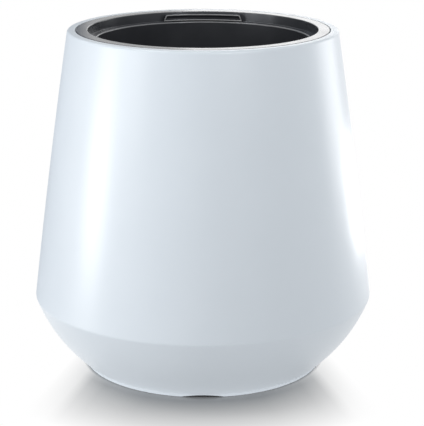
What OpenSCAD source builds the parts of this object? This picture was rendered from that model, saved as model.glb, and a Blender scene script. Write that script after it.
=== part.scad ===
// Round double-walled plant pot. A white outer body, moulded as a shell and a base
// bowl, carries a dark lift-out insert on a seat inside its rim. Two handles pull up
// out of the insert's ledge, and a plug closes the drain in the base.
// The origin is on the ground at the middle of the foot. The front is -Y.

/* [Outer body] */
// Height of the rim above the ground
pot_h = 389; // [375:1:420]
// Diameter at the belly crease, before its rounding
belly_d = 390; // [378:1:420]
// Height of the belly crease above the ground
crease_h = 81.5; // [72:0.5:92]
// Radius of the rounding along the crease
crease_round = 5.5; // [2:0.5:10]
// Outside diameter of the rim
mouth_d = 304.5; // [292:0.5:318]
// How far the upper wall bows out from a straight cone
wall_bow = 1.3; // [0:0.1:4]
// How far the base bowl bows out from a straight cone
bowl_bow = 6.4; // [4:0.2:9]
// Wall thickness of the shell and the base bowl
wall_t = 3.5; // [2.5:0.1:4.5]

/* [Rim seat] */
// Width of the white lip round the insert's flange
lip_w = 8.9; // [6.5:0.1:10]
// Radius of the rounding on the lip's outer edge
lip_round = 3.2; // [1:0.2:4]
// Open seam between the lip and the flange
seam_gap = 1.1; // [0.6:0.1:1.6]
// Width of the seat under the flange
seat_w = 6; // [4:0.2:8]
// Thickness of the seat
seat_t = 3; // [2:0.2:4.5]

/* [Foot and floor] */
// Diameter at the top of the foot band
foot_d = 278.6; // [262:1:290]
// Height of the foot band
foot_h = 4; // [2.5:0.1:6]
// How far the foot band tapers in towards the ground
foot_taper = 1.4; // [0.5:0.1:2]
// Width of the ring that stands on the ground
foot_w = 5; // [4:0.2:8]
// Notches in the foot ring
notch_count = 3; // [2:1:4]
// Width of a notch at the ground
notch_w = 48; // [30:1:60]
// Height of a notch
notch_h = 2.4; // [1:0.1:2.4]
// Height of the floor's underside above the ground
floor_lift = 10; // [8:0.5:14]
// Thickness of the floor
floor_t = 3.5; // [2.5:0.1:4.5]
// Stiffening ribs under the floor
rib_count = 6; // [3:1:12]
// Depth of the ribs
rib_h = 5; // [3:0.2:5]
// Thickness of the ribs
rib_t = 2.4; // [1.6:0.1:3.2]

/* [Shell joint] */
// Height of the base bowl's tongue inside the shell
tongue_h = 12; // [8:0.5:16]
// Thickness of the tongue
tongue_t = 2.5; // [2:0.1:3]
// Clearance between the tongue and the shell
tongue_gap = 0.2; // [0.1:0.05:0.4]

/* [Drain plug] */
// Diameter of the drain hole
drain_d = 26; // [18:1:34]
// Wall of the boss round the drain hole
drain_boss_t = 3; // [2:0.2:4]
// Depth of the boss under the floor
drain_boss_h = 4; // [2:0.2:5]
// Clearance between the plug's stem and the hole
plug_gap = 0.3; // [0.2:0.05:0.6]
// How far the plug's head overhangs the hole
plug_rim = 7; // [5:0.5:10]
// Thickness of the plug's head
plug_head_t = 3; // [2:0.2:4]
// Wall of the plug's hollow stem
plug_wall = 2.2; // [1.6:0.1:3]
// Height of the plug's pull tab
tab_h = 9; // [6:0.5:12]
// Thickness of the pull tab
tab_t = 4; // [3:0.2:6]
// Thickness of the gasket under the plug's head
gasket_t = 2; // [1:0.1:3]

/* [Insert] */
// Width of the flange on top
flange_w = 12.6; // [11:0.1:15]
// Thickness of the flange
flange_t = 3.2; // [2.4:0.1:4]
// Depth of the ledge below the flange's top
ledge_drop = 10.9; // [10:0.1:14]
// Width of the ledge
ledge_w = 8.1; // [7.8:0.1:10]
// How far the collar narrows from the flange to the ledge
collar_taper = 1; // [0:0.1:1.5]
// Wall thickness of the insert
insert_wall = 2.2; // [1.8:0.1:3]
// Draft of the bucket's wall, in degrees
bucket_draft = 3; // [1.5:0.1:4]
// Inside rounding between the bucket's wall and floor
bucket_round = 12; // [6:1:20]
// Depth of the water space under the insert
reservoir_h = 40; // [36:1:60]
// Height of the insert's standing studs
stud_h = 6; // [3:0.5:8]
// Diameter of the standing studs
stud_d = 14; // [8:1:20]
// Standing studs
stud_count = 6; // [3:1:8]
// Drainage holes round the floor
weep_count = 12; // [6:1:16]
// Diameter of a drainage hole
weep_d = 8; // [5:0.5:10]

/* [Pull-up handles] */
// Width of the grip at the ledge
grip_w = 93; // [80:1:110]
// How far each end of the grip leans in towards the top
grip_lean = 2.5; // [0:0.1:4]
// Rounding of the grip's upper corners
grip_round = 2.6; // [1.8:0.1:3.2]
// Gap between the flange's top and the top of the grip
grip_sink = 2.3; // [1.2:0.1:3]
// Gap under the middle of the grip
grip_lift = 1.1; // [0.6:0.1:1.5]
// Rim of the grip round its finger recess
grip_rim = 1.4; // [1:0.1:1.6]
// Back wall of the grip behind the finger recess
grip_back = 1.6; // [1.2:0.1:2]
// Gap between the grip and the collar behind it
grip_gap = 0.6; // [0.4:0.1:1]
// How far the grip is set back from the ledge's inner edge
grip_setback = 0.9; // [0.5:0.1:1.5]
// Width of a leg
leg_w = 8; // [6:0.5:12]
// Thickness of a leg
leg_t = 2.6; // [2:0.1:3]
// How far a leg stands in from the grip's end
leg_inset = 1.5; // [1:0.1:4]
// Clearance round a leg in its guide
leg_gap = 0.4; // [0.3:0.05:0.6]
// Wall of a leg's guide
guide_wall = 1.6; // [1.2:0.1:2.4]
// Length of a guide below the ledge
guide_h = 24; // [15:1:32]
// How far a handle pulls up
handle_travel = 45; // [30:1:60]
// Height of the stop at the end of a leg
stop_h = 5; // [3:0.2:8]
// Length of a leg below its stop
leg_tip = 2; // [1:0.5:4]
// Width of the stop
stop_w = 6; // [4:0.5:6]
// How far the shoulder over a leg stands in from the grip's faces
shoulder_inset = 0.4; // [0.2:0.1:0.8]

/* [Hidden] */
$fn = 120;
curve_steps = 14;
round_steps = 6;
eps = 0.1;        // overlap between solids that are one piece
stop_gap = 0.3;   // gap left between a leg's stop and its guide at full travel
grip_span = 45;   // half angle of the ring that a grip is cut from

body_white = [0.93, 0.94, 0.96];
insert_grey = [0.17, 0.17, 0.18];
plug_grey = [0.24, 0.24, 0.25];
rubber_black = [0.07, 0.07, 0.07];

// Path helpers, in the plane of radius and height
function unit(v) = v / norm(v);
function left_of(v) = [-v[1], v[0]];

// Points from a to b that bow out to the right of the way there
function bowed(a, b, bow) = [
    for (i = [0:curve_steps])
        let (t = i / curve_steps)
        a + (b - a) * t - left_of(unit(b - a)) * bow * 4 * t * (1 - t)
];

// A path moved a distance to its left
function moved(path, distance) = [
    for (i = [0:len(path) - 1])
        let (before = path[max(i - 1, 0)], after = path[min(i + 1, len(path) - 1)])
        path[i] + left_of(unit(after - before)) * distance
];

// The arc that rounds corner b between a and c
function rounded(a, b, c, radius) =
    let (
        u = unit(a - b),
        v = unit(c - b),
        half = acos(u * v) / 2,
        centre = b + unit(u + v) * radius / sin(half),
        from = b + u * radius / tan(half) - centre,
        to = b + v * radius / tan(half) - centre,
        sweep = 180 - 2 * half
    )
    [for (i = [0:round_steps])
        let (t = i / round_steps)
        centre + (from * sin((1 - t) * sweep) + to * sin(t * sweep)) / sin(sweep)];

function inner_points(path) = [for (i = [1:len(path) - 2]) path[i]];
function backwards(path) = [for (i = [len(path) - 1:-1:0]) path[i]];
function radius_at(path, height) = lookup(height, [for (p = path) [p[1], p[0]]]);
function height_at(path, radius) = lookup(radius, [for (p = path) [p[0], p[1]]]);

// Outer body
crease = [belly_d / 2, crease_h];
rim = [mouth_d / 2, pot_h];
foot_top = [foot_d / 2, foot_h];
foot_edge = [foot_d / 2 - foot_taper, 0];
foot_round = foot_h / 4;
bowl_path = bowed(foot_top, crease, bowl_bow);
wall_path = bowed(crease, rim, wall_bow);
crease_arc = rounded(bowl_path[curve_steps - 1], crease, wall_path[1], crease_round);
parting = crease_arc[0];
wall_inside = moved(wall_path, wall_t);
bowl_inside = moved(bowl_path, wall_t);

// Rim seat
lip_r = mouth_d / 2 - lip_w;
lip_edge = seam_gap / 2;
flange_r = lip_r - seam_gap;
seat_z = pot_h - flange_t;
seat_r = lip_r - seat_w;

// Joint between the shell and the base bowl
tongue_top = parting[1] + tongue_h;
socket_top = tongue_top + tongue_gap;
socket_r = radius_at(wall_inside, socket_top);
tongue_r = socket_r - tongue_gap;

// Floor and plug
ring_r = foot_edge[0] - foot_w;
floor_top = floor_lift + floor_t;
notch_r = (pow(notch_w / 2, 2) + pow(notch_h, 2)) / (2 * notch_h);
drain_r = drain_d / 2;
boss_r = drain_r + drain_boss_t;
stem_r = drain_r - plug_gap;
head_r = drain_r + plug_rim;
head_z = floor_top + gasket_t;

// Insert
collar_r = flange_r - flange_w;
collar_foot_r = collar_r - collar_taper;
ledge_z = pot_h - ledge_drop;
ledge_r = collar_foot_r - ledge_w;
ledge_under = ledge_z - insert_wall;
insert_floor = floor_top + reservoir_h + stud_h;
insert_floor_top = insert_floor + insert_wall;
function bucket_r(z) = ledge_r - (ledge_z - z) * tan(bucket_draft);
edge_round = insert_wall / 3;
stud_circle = bucket_r(insert_floor) - bucket_round - stud_d / 2;
weep_circle = stud_circle - stud_d / 2 - weep_d;

// Handles
grip_inner_r = ledge_r + grip_setback;
grip_outer_r = collar_foot_r - grip_gap;
grip_base = ledge_z + grip_lift;
grip_top = pot_h - grip_sink;
leg_mid_r = (grip_inner_r + grip_outer_r) / 2;
leg_inner_r = leg_mid_r - leg_t / 2;
leg_outer_r = leg_mid_r + leg_t / 2;
leg_half_angle = asin(leg_w / 2 / leg_mid_r);
leg_angle = asin((grip_w / 2 - leg_inset) / leg_mid_r) - leg_half_angle;
gap_angle = asin(leg_gap / leg_mid_r);
guide_angle = asin((leg_gap + guide_wall) / leg_mid_r);
guide_end = ledge_under - guide_h;
guide_inner_r = max(bucket_r(ledge_z) + eps, bucket_r(guide_end) + insert_wall - eps);
guide_outer_r = leg_outer_r + leg_gap + guide_wall;
stop_top = guide_end - handle_travel - stop_gap;
stop_half_angle = asin(stop_w / 2 / leg_mid_r);

// A curved bar round the pot's axis, centred on +Y
module sector(r_in, r_out, z_low, z_high, half)
    rotate([0, 0, 90 - half])
        rotate_extrude(angle = 2 * half)
            translate([r_in, z_low])
                square([r_out - r_in, z_high - z_low]);

module around(count)
    for (i = [0:count - 1])
        rotate([0, 0, i * 360 / count])
            children();

// Upper wall with the lip and the seat for the insert's flange
module outer_shell() {
    seat_under = seat_z - seat_t;
    inside = [for (p = wall_inside) if (p[1] > socket_top && p[1] < seat_under) p];
    outline = concat(
        crease_arc,
        inner_points(wall_path),
        rounded(wall_path[curve_steps - 1], rim, [0, pot_h], lip_round),
        [[lip_r + lip_edge, pot_h], [lip_r, pot_h - lip_edge], [lip_r, seat_z],
         [seat_r, seat_z], [seat_r, seat_under],
         [radius_at(wall_inside, seat_under), seat_under]],
        backwards(inside),
        [[socket_r, socket_top], [socket_r, parting[1]]]
    );
    color(body_white)
        rotate_extrude()
            polygon(outline);
}

// Lower wall with the floor, the foot ring and the tongue that the shell sits over
module base_bowl() {
    tongue_in_r = tongue_r - tongue_t;
    inside = [for (p = bowl_inside) if (p[0] < tongue_in_r && p[1] > floor_top) p];
    outline = concat(
        [[ring_r, 0]],
        backwards(rounded(foot_top, foot_edge, [ring_r, 0], foot_round)),
        [foot_top],
        inner_points(bowl_path),
        [parting, [tongue_r, parting[1]], [tongue_r, tongue_top], [tongue_in_r, tongue_top],
         [tongue_in_r, height_at(bowl_inside, tongue_in_r)]],
        backwards(inside),
        [[radius_at(bowl_inside, floor_top), floor_top], [drain_r, floor_top],
         [drain_r, floor_lift - drain_boss_h], [boss_r, floor_lift - drain_boss_h],
         [boss_r, floor_lift], [ring_r, floor_lift]]
    );
    color(body_white)
        difference() {
            union() {
                rotate_extrude()
                    polygon(outline);
                around(rib_count)
                    translate([boss_r - eps, -rib_t / 2, floor_lift - rib_h])
                        cube([ring_r - boss_r + 2 * eps, rib_t, rib_h + eps]);
            }
            around(notch_count)
                translate([0, -ring_r + foot_w, notch_h - notch_r])
                    rotate([90, 0, 0])
                        cylinder(r = notch_r, h = 3 * foot_w);
        }
}

// Bucket that holds the soil, with its flange, collar, ledge and leg guides
module planting_insert() {
    wall_foot = [bucket_r(insert_floor_top), insert_floor_top];
    outer_foot = [bucket_r(insert_floor) + insert_wall, insert_floor];
    outer_top = [bucket_r(ledge_under) + insert_wall, ledge_under];
    ledge_edge = [ledge_r, ledge_z];
    collar_foot = [collar_foot_r, ledge_z];
    outline = concat(
        [[0, insert_floor_top]],
        rounded([0, insert_floor_top], wall_foot, ledge_edge, bucket_round),
        rounded(wall_foot, ledge_edge, collar_foot, edge_round),
        [collar_foot],
        rounded(collar_foot, [collar_r, pot_h], [flange_r, pot_h], edge_round),
        rounded([collar_r, pot_h], [flange_r, pot_h], [flange_r, seat_z], edge_round),
        [[flange_r, seat_z], [collar_r + insert_wall, seat_z],
         [collar_foot_r + insert_wall, ledge_under],
         outer_top],
        backwards(rounded([0, insert_floor], outer_foot, outer_top, bucket_round + insert_wall)),
        [[0, insert_floor]]
    );
    color(insert_grey)
        difference() {
            union() {
                rotate_extrude()
                    polygon(outline);
                leg_places()
                    sector(guide_inner_r, guide_outer_r, guide_end, ledge_under + eps,
                           leg_half_angle + guide_angle);
                around(stud_count)
                    translate([stud_circle, 0, insert_floor - stud_h])
                        cylinder(d = stud_d, h = stud_h + eps);
            }
            leg_places()
                sector(leg_inner_r - leg_gap, leg_outer_r + leg_gap, guide_end - eps,
                       ledge_z + eps, leg_half_angle + gap_angle);
            around(weep_count)
                translate([weep_circle, 0, insert_floor - eps])
                    cylinder(d = weep_d, h = insert_wall + 2 * eps);
        }
}

// The four places of the handles' legs
module leg_places()
    for (side = [0, 180], lean = [-1, 1])
        rotate([0, 0, side + lean * leg_angle])
            children();

// Front view of the grip, drawn in from its edges
module grip_face(inset) {
    low = grip_w / 2 - inset;
    high = low - grip_lean;
    base = grip_base + inset;
    top = grip_top - inset;
    arc = max(grip_round - inset, edge_round);
    right = rounded([low, base], [high, top], [0, top], arc);
    mirrored = [for (p = backwards(right)) [-p[0], p[1]]];
    polygon(concat([[-low, base], [low, base]], right, mirrored));
}

// What lies behind a front view, from the axis to the collar
module behind(inset)
    translate([0, collar_r, 0])
        rotate([90, 0, 0])
            linear_extrude(height = collar_r / 2)
                grip_face(inset);

// Curved grip with a finger recess, on two legs with stops
module pull_handle() {
    color(insert_grey) {
        difference() {
            intersection() {
                sector(grip_inner_r, grip_outer_r, grip_base, grip_top, grip_span);
                behind(0);
            }
            intersection() {
                sector(grip_inner_r - eps, grip_outer_r - grip_back, grip_base, grip_top, grip_span);
                behind(grip_rim);
            }
        }
        for (lean = [-1, 1])
            rotate([0, 0, lean * leg_angle]) {
                sector(grip_inner_r + shoulder_inset, grip_outer_r - shoulder_inset, ledge_z,
                       grip_base + eps, leg_half_angle + gap_angle);
                sector(leg_inner_r, leg_outer_r, stop_top - stop_h - leg_tip, ledge_z + eps,
                       leg_half_angle);
                sector(leg_mid_r, guide_outer_r, stop_top - stop_h, stop_top, stop_half_angle);
            }
    }
}

module back_handle()
    pull_handle();

module front_handle()
    rotate([0, 0, 180])
        pull_handle();

// Push-in stopper with a hollow stem and a pull tab
module drain_plug() {
    outline = [
        [0, head_z], [stem_r - plug_wall, head_z], [stem_r - plug_wall, floor_lift],
        [stem_r, floor_lift], [stem_r, head_z], [head_r, head_z],
        [head_r, head_z + plug_head_t], [0, head_z + plug_head_t]
    ];
    color(plug_grey) {
        rotate_extrude()
            polygon(outline);
        translate([0, 0, head_z + plug_head_t])
            rotate([90, 0, 0])
                translate([0, 0, -tab_t / 2])
                    linear_extrude(height = tab_t)
                        intersection() {
                            circle(r = tab_h);
                            translate([-tab_h, -eps])
                                square([2 * tab_h, tab_h + eps]);
                        }
    }
}

// Flat ring under the plug's head
module plug_gasket()
    color(rubber_black)
        rotate_extrude()
            translate([drain_r, floor_top])
                square([head_r - drain_r, gasket_t]);

outer_shell();
base_bowl();
planting_insert();
back_handle();
front_handle();
drain_plug();
plug_gasket();
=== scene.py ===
# %% [markdown]
# # A plant pot in two skins
# The pot is a white outer body that carries a dark lift-out insert. Two handles pull
# up out of the insert's ledge, and a plug closes the drain hole in the base. The packed
# model gives every piece its place, so this lesson only shapes the surfaces, gives them
# their finish and lights them.

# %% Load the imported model
import math

import bmesh
import bpy
from mathutils import Matrix, Vector


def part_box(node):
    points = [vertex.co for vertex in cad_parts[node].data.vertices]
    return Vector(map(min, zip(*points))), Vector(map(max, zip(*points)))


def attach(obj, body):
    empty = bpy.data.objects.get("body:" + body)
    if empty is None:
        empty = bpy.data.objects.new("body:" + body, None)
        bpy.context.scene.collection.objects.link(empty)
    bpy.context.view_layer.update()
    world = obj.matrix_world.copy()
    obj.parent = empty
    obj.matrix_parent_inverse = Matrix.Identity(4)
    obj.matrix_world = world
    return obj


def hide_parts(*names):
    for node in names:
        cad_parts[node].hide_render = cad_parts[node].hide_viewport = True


MM = 0.001
CM = 0.01
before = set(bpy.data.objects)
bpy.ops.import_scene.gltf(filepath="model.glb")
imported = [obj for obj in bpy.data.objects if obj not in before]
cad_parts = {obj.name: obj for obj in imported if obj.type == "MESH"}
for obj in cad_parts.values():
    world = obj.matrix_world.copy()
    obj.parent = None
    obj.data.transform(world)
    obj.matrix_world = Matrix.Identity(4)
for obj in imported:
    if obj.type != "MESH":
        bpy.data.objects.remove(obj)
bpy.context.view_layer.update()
print("nodes:", sorted(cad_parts))

# %% [markdown]
# ## Camera
# The photograph looks down on the pot from the front, from some way off, so its sides
# hardly converge. A long lens at that distance gives the same look. A small shift of
# the lens puts the pot's axis left of the middle, as in the photograph, without turning
# the camera.

# %% Place the camera
IMAGE_WIDTH = 424
IMAGE_HEIGHT = 426
POT_AXIS_PIXEL = 202.9
CAMERA_BACK = 1.793
CAMERA_HEIGHT = 0.6734
CAMERA_TILT = math.radians(15.58)
FOCAL_PIXELS = 1604.4
SENSOR_MM = 36


def new_object(name, data):
    """A new object, linked into the scene."""
    made = bpy.data.objects.new(name, data)
    bpy.context.scene.collection.objects.link(made)
    return made


camera_data = bpy.data.cameras.new("photo_camera")
camera_data.sensor_width = SENSOR_MM
camera_data.lens = SENSOR_MM * FOCAL_PIXELS / IMAGE_HEIGHT
camera_data.shift_x = (IMAGE_WIDTH / 2 - POT_AXIS_PIXEL) / IMAGE_HEIGHT
camera = new_object("photo_camera", camera_data)
camera.location = (0, -CAMERA_BACK, CAMERA_HEIGHT)
camera.rotation_euler = (math.pi / 2 - CAMERA_TILT, 0, 0)
bpy.context.scene.camera = camera
print("lens in mm:", round(camera_data.lens, 1))

# %% [markdown]
# ## Building node trees
# Geometry Nodes and materials are both trees of nodes. A few small helpers keep the trees
# readable. They add a node and link or set its inputs by name, do sums, take vectors
# apart and put them together, and begin and end a tree that shapes a piece.

# %% Helpers for trees
SHARP_CORNER = math.radians(32)


def add(tree, kind, inputs=None, **settings):
    """A new node. An input is either a value or the output of another node."""
    node = tree.nodes.new(kind)
    for key, value in settings.items():
        setattr(node, key, value)
    for key, value in (inputs or {}).items():
        if isinstance(value, bpy.types.NodeSocket):
            tree.links.new(value, node.inputs[key])
        else:
            node.inputs[key].default_value = value
    return node


def calc(tree, operation, *values):
    """The output of a Math node."""
    inputs = dict(enumerate(values))
    return add(tree, "ShaderNodeMath", inputs, operation=operation).outputs[0]


def axes_of(tree, spot):
    """The X, Y and Z of a vector."""
    return add(tree, "ShaderNodeSeparateXYZ", {0: spot}).outputs


def from_axes(tree, **axes):
    """A vector from its X, Y and Z. An axis that isn't given is 0."""
    return add(tree, "ShaderNodeCombineXYZ", axes).outputs[0]


def length_of(tree, spot):
    """The length of a vector."""
    return add(tree, "ShaderNodeVectorMath", {0: spot}, operation="LENGTH").outputs["Value"]


def remap(tree, value, start, end, first=0.0, last=1.0, **settings):
    """Runs from first to last while a value runs from start to end."""
    inputs = {"Value": value, "From Min": start, "From Max": end, "To Min": first, "To Max": last}
    return add(tree, "ShaderNodeMapRange", inputs, **settings).outputs[0]


def new_shape_tree(name, sockets):
    """A Geometry Nodes tree with named inputs, listed by kind, and the sockets that give them."""
    tree = bpy.data.node_groups.new(name, "GeometryNodeTree")
    tree.interface.new_socket("Geometry", in_out="OUTPUT", socket_type="NodeSocketGeometry")
    for kind, *titles in sockets:
        for title in titles:
            tree.interface.new_socket(title, in_out="INPUT", socket_type="NodeSocket" + kind)
    return tree, tree.nodes.new("NodeGroupInput").outputs


def end_shape_tree(tree, geometry, material=None):
    """Ends a tree: smooth faces, sharp edges at real corners, a material, and no instances."""
    if material is not None:
        geometry = add(tree, "GeometryNodeRealizeInstances", {0: geometry}).outputs[0]
        angle = add(tree, "GeometryNodeInputMeshEdgeAngle").outputs["Unsigned Angle"]
        corner = calc(tree, "GREATER_THAN", angle, SHARP_CORNER)
        geometry = add(tree, "GeometryNodeSetShadeSmooth", {0: geometry}).outputs[0]
        geometry = add(tree, "GeometryNodeSetShadeSmooth",
                       {0: geometry, "Selection": corner, "Shade Smooth": False},
                       domain="EDGE").outputs[0]
        geometry = add(tree, "GeometryNodeSetMaterial",
                       {0: geometry, "Material": material}).outputs[0]
    add(tree, "NodeGroupOutput", {0: geometry})
    return tree


print("corners over", round(math.degrees(SHARP_CORNER)), "degrees stay sharp")

# %% [markdown]
# ## Profiles
# Every moulding here is round, so each is drawn once as an outline in the plane of
# radius and height. A wall is a shallow bow between two points, a corner is an arc, and
# a pair of points just outside each arc holds the smooth shading to the arc.

# %% Outline helpers
RADIUS = 0
HEIGHT = 1
ARC_STEPS = 7
FEW_STEPS = 4


def at(radius, height):
    return Vector((radius, height))


def bowed(a, b, bow, steps=28):
    """Points from a to b that bow out to the right of the way there."""
    along = b - a
    right = Vector((along.y, -along.x)).normalized()
    shares = [i / steps for i in range(steps + 1)]
    return [a + along * t + right * bow * 4 * t * (1 - t) for t in shares]


def moved(path, distance):
    """A path moved a distance to its left."""
    ends = list(zip([path[0]] + path[:-1], path[1:] + [path[-1]]))
    ways = [(after - before).normalized() for before, after in ends]
    return [p + Vector((-way.y, way.x)) * distance for p, way in zip(path, ways)]


def rounded(a, b, c, radius, steps=ARC_STEPS, hold=0.35):
    """The arc that rounds corner b between a and c, with a holding point at each end."""
    u = (a - b).normalized()
    v = (c - b).normalized()
    half = u.angle(v) / 2
    sweep = math.pi - 2 * half
    centre = b + (u + v).normalized() * radius / math.sin(half)
    start = b + u * radius / math.tan(half) - centre
    end = b + v * radius / math.tan(half) - centre
    turns = [i / steps * sweep for i in range(steps + 1)]
    arc = [centre + (start * math.sin(sweep - t) + end * math.sin(t)) / math.sin(sweep) for t in turns]
    return [arc[0] + u * radius * hold] + arc + [arc[-1] + v * radius * hold]


def cornered(items, closed=False):
    """A path through points. One that comes with a radius, and with steps and hold, is rounded."""
    spots = [item[0] if isinstance(item, tuple) else item for item in items]
    path = []
    for i, item in enumerate(items):
        if isinstance(item, tuple):
            path += rounded(spots[i - 1], item[0], spots[(i + 1) % len(spots)], *item[1:])
        else:
            path.append(item)
    return path + path[:1] if closed else path


def between(path, value, known, wanted):
    """Where a path's known coordinate passes a value, its wanted coordinate."""
    for p, q in zip(path, path[1:]):
        if min(p[known], q[known]) <= value <= max(p[known], q[known]):
            share = (value - p[known]) / (q[known] - p[known])
            return p[wanted] + (q[wanted] - p[wanted]) * share
    raise ValueError("the path doesn't reach that value")


print("a point has its radius at", RADIUS, "and its height at", HEIGHT)

# %% [markdown]
# ## A tree that revolves an outline
# Spin or a Screw modifier could turn an outline into a round body, but a tree keeps the
# rule in sight: a grid has one row for each point of the outline and one column for each
# step round the axis, and each of its points is moved to that radius, height and angle.
# Merging closes the seam and the pole, and flipping turns the faces outwards, which the
# booleans that follow rely on.

# %% Revolve tree
MERGE_DISTANCE = 1e-6


def make_revolve_tree():
    """Turns an outline about the axis. The half keeps a row's number clear of rounding."""
    tree, given = new_shape_tree("revolve_outline", [("Geometry", "Outline"), ("Int", "Steps")])
    points = add(tree, "GeometryNodeAttributeDomainSize", {0: given["Outline"]}).outputs["Point Count"]
    columns = calc(tree, "ADD", given["Steps"], 1)
    grid = add(tree, "GeometryNodeMeshGrid",
               {"Vertices X": points, "Vertices Y": columns}).outputs["Mesh"]
    index = add(tree, "GeometryNodeInputIndex").outputs[0]
    row = calc(tree, "FLOOR", calc(tree, "DIVIDE", calc(tree, "ADD", index, 0.5), columns))
    column = calc(tree, "SUBTRACT", index, calc(tree, "MULTIPLY", row, columns))
    place = add(tree, "GeometryNodeInputPosition").outputs[0]
    sample = add(tree, "GeometryNodeSampleIndex", {0: given["Outline"], "Value": place, "Index": row},
                 data_type="FLOAT_VECTOR")
    drawn = axes_of(tree, sample.outputs[0])
    angle = calc(tree, "DIVIDE", calc(tree, "MULTIPLY", column, math.tau), given["Steps"])
    placed = from_axes(tree, X=calc(tree, "MULTIPLY", drawn["X"], calc(tree, "COSINE", angle)),
                       Y=calc(tree, "MULTIPLY", drawn["X"], calc(tree, "SINE", angle)), Z=drawn["Z"])
    surface = add(tree, "GeometryNodeSetPosition", {0: grid, "Position": placed}).outputs[0]
    closed = add(tree, "GeometryNodeMergeByDistance",
                 {0: surface, "Distance": MERGE_DISTANCE}).outputs[0]
    outward = add(tree, "GeometryNodeFlipFaces", {0: closed}).outputs[0]
    return end_shape_tree(tree, outward)


revolve_tree = make_revolve_tree()


def revolve(tree, outline, steps):
    """Places the revolve tree in another tree."""
    inputs = {"Outline": outline, "Steps": steps}
    return add(tree, "GeometryNodeGroup", inputs, node_tree=revolve_tree).outputs[0]


print("revolve tree:", len(revolve_tree.nodes), "nodes")

# %% [markdown]
# ## From tree to piece
# A tree runs as a modifier on an object whose own mesh is just the outline's points.
# The result becomes a plain mesh, the modifier goes, and only then does the piece take
# its body, its CAD node and its material slot.

# %% Turn a tree into a piece
def make_piece(name, tree, outline, values):
    """A mesh object from a tree. Values are the tree's inputs by name."""
    mesh = bpy.data.meshes.new(name)
    mesh.from_pydata([(p.x, 0, p.y) for p in outline], [], [])
    piece = new_object(name, mesh)
    modifier = piece.modifiers.new("shape", "NODES")
    modifier.node_group = tree
    names = {item.name: item.identifier for item in tree.interface.items_tree if item.in_out == "INPUT"}
    for key, value in values.items():
        modifier[names[key]] = value
    settle(piece)
    piece.data.materials.clear()
    piece.data.materials.append(values["Finish"])
    return piece


def apply_modifiers(piece):
    """Replaces a piece's mesh and modifiers by the mesh that they make."""
    graph = bpy.context.evaluated_depsgraph_get()
    made = bpy.data.meshes.new_from_object(piece.evaluated_get(graph), depsgraph=graph)
    piece.modifiers.clear()
    piece.data = made
    return made


def settle(piece):
    """Applies a piece's modifiers, turns its faces outwards and prints its size."""
    made = apply_modifiers(piece)
    form = bmesh.new()
    form.from_mesh(made)
    volume = form.calc_volume(signed=True)
    open_edges = sum(1 for edge in form.edges if not edge.is_manifold)
    if volume < 0:
        bmesh.ops.reverse_faces(form, faces=form.faces)
        form.to_mesh(made)
    form.free()
    print(f"{piece.name}: {len(made.polygons)} faces, {abs(volume) / CM ** 3:.0f} cm3, "
          f"{open_edges} open edges")


def hand_over(piece, body, node):
    """The piece moves with a body and stands in for a CAD node, which is hidden."""
    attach(piece, body)
    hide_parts(node)


# %% [markdown]
# ## Finishes
# The white body is satin polypropylene: a fine spark-eroded mould texture that is felt
# more than seen, and faint, slow changes in gloss where the plastic cooled unevenly. The
# insert has a coarser grain. Both share one group of nodes with its own values in each
# material.

# %% Moulded skin
PEBBLE_SMOOTHNESS = 0.6
FINE_RATIO = 2.3
FINE_DETAIL = 3
FINE_HEIGHT = 0.5
FLOW_DETAIL = 7
FLOW_ROUGHNESS = 0.6


def new_shader_group(name, inputs, outputs):
    """A shader group with named numbers in and out, and the sockets that give its inputs."""
    tree = bpy.data.node_groups.new(name, "ShaderNodeTree")
    for way, titles in (("INPUT", inputs), ("OUTPUT", outputs)):
        for title in titles:
            tree.interface.new_socket(title, in_out=way, socket_type="NodeSocketFloat")
    return tree, tree.nodes.new("NodeGroupInput").outputs


def make_skin_group():
    """A fine mould texture: the grain's height, and a mask for slow changes of gloss and tone."""
    tree, given = new_shader_group(
        "moulded_skin", ("Grain per metre", "Flow per metre"), ("Grain", "Flow"))
    place = add(tree, "ShaderNodeTexCoord").outputs["Object"]
    pebbles = add(tree, "ShaderNodeTexVoronoi", {
        "Vector": place, "Scale": given["Grain per metre"], "Smoothness": PEBBLE_SMOOTHNESS},
        feature="SMOOTH_F1").outputs["Distance"]
    fine_scale = calc(tree, "MULTIPLY", given["Grain per metre"], FINE_RATIO)
    fine = add(tree, "ShaderNodeTexNoise", {
        "Vector": place, "Scale": fine_scale, "Detail": FINE_DETAIL}).outputs[0]
    grain = calc(tree, "MULTIPLY_ADD", fine, FINE_HEIGHT, pebbles)
    flow = add(tree, "ShaderNodeTexNoise", {
        "Vector": place, "Scale": given["Flow per metre"], "Detail": FLOW_DETAIL,
        "Roughness": FLOW_ROUGHNESS}).outputs[0]
    add(tree, "NodeGroupOutput", {"Grain": grain, "Flow": flow})
    return tree


skin_group = make_skin_group()
print("skin group:", len(skin_group.nodes), "nodes")

# %% Plastic finishes
FLOW_LOW = 0.2
FLOW_HIGH = 0.8


def new_material(name):
    """A material, its tree and its shader."""
    material = bpy.data.materials.new(name)
    material.use_nodes = True
    return material, material.node_tree, material.node_tree.nodes["Principled BSDF"]


def blend_colours(tree, mask, dark, light):
    ramp = add(tree, "ShaderNodeValToRGB", {0: mask})
    ramp.color_ramp.interpolation = "EASE"
    stops = zip(ramp.color_ramp.elements, (FLOW_LOW, FLOW_HIGH), (dark, light))
    for stop, position, colour in stops:
        stop.position = position
        stop.color = (*colour, 1)
    return ramp.outputs[0]


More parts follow.
